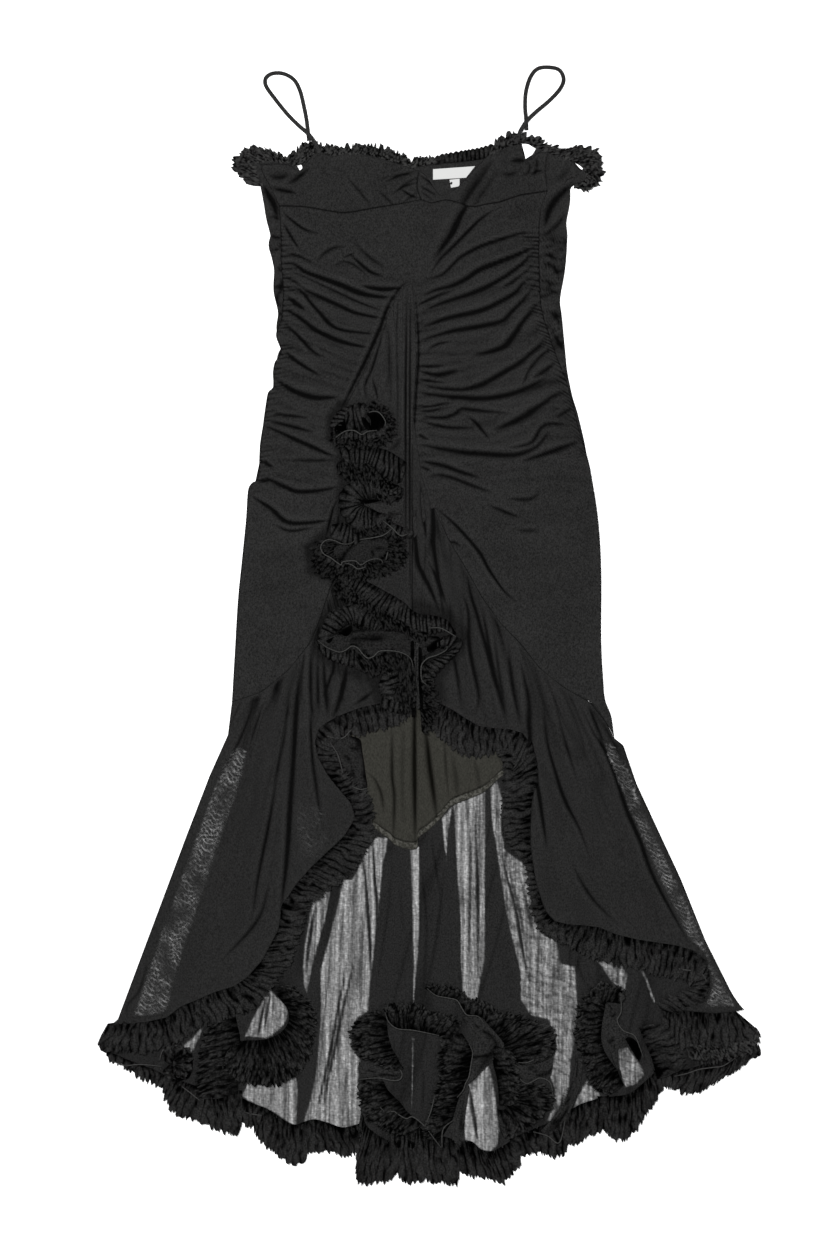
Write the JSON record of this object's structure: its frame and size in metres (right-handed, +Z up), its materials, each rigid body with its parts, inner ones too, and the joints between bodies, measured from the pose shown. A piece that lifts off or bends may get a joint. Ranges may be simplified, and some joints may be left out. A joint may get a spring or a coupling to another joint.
{
  "type": "high-low dress",
  "caption": "Sleeveless high-low dress laid flat: thin straps, ruched body, ruffle cascade down the front, gathered flounces over a longer sheer train with a ruffled hem.",
  "frame": {"origin": "centre of the laid-out dress's bounding box, on the surface that it lies on", "axes": "+Y from hem to neck, +X towards the right as one looks down on the front, +Z up, away from the surface"},
  "size_m": [0.8312, 1.4025, 0.013],
  "materials": {
    "black_jersey": "matte stretch jersey, faint sheen",
    "black_mesh": "fine sheer stretch mesh",
    "olive_lining": "thin smooth lining, faded olive black",
    "white_label": "woven label tape, blank"
  },
  "bodies": {
    "root": {"back_body": "black_jersey", "back_lining": "olive_lining", "bust_left": "black_jersey", "bust_right": "black_jersey", "cascade_band": "black_jersey", "cascade_diagonal": "black_jersey", "cascade_edge": "black_jersey", "cascade_end": "black_jersey", "cascade_lobe_left": "black_jersey", "cascade_lobe_right": "black_jersey", "cascade_loop": "black_jersey", "cascade_rose": "black_jersey", "cascade_shell": "black_jersey", "centre_drape": "black_jersey", "flounce_left": "black_mesh", "flounce_right": "black_mesh", "front_body": "black_jersey", "hem_ruffle_left": "black_jersey", "hem_ruffle_right": "black_jersey", "hem_ruffle_right_corner": "black_jersey", "hem_ruffle_right_curl": "black_jersey", "hem_ruffle_right_low": "black_jersey", "neck_label": "white_label", "neck_ruffle_armhole": "black_jersey", "neck_ruffle_left": "black_jersey", "neck_ruffle_right": "black_jersey", "size_tab": "white_label", "strap_left": "black_jersey", "strap_right": "black_jersey", "train": "black_mesh", "train_ruffle_bottom": "black_jersey", "train_ruffle_bottom_left": "black_jersey", "train_ruffle_bottom_right": "black_jersey", "train_ruffle_corner": "black_jersey", "train_ruffle_left": "black_jersey", "train_ruffle_right": "black_jersey", "turned_ruffle_far_left": "black_jersey", "turned_ruffle_left": "black_jersey", "turned_ruffle_left_corner": "black_jersey", "turned_ruffle_low": "black_jersey", "turned_ruffle_lower_right": "black_jersey", "turned_ruffle_right": "black_jersey", "turned_ruffle_side": "black_jersey", "turned_ruffle_top": "black_jersey", "turned_ruffle_upper_right": "black_jersey"}
  },
  "joints": []
}
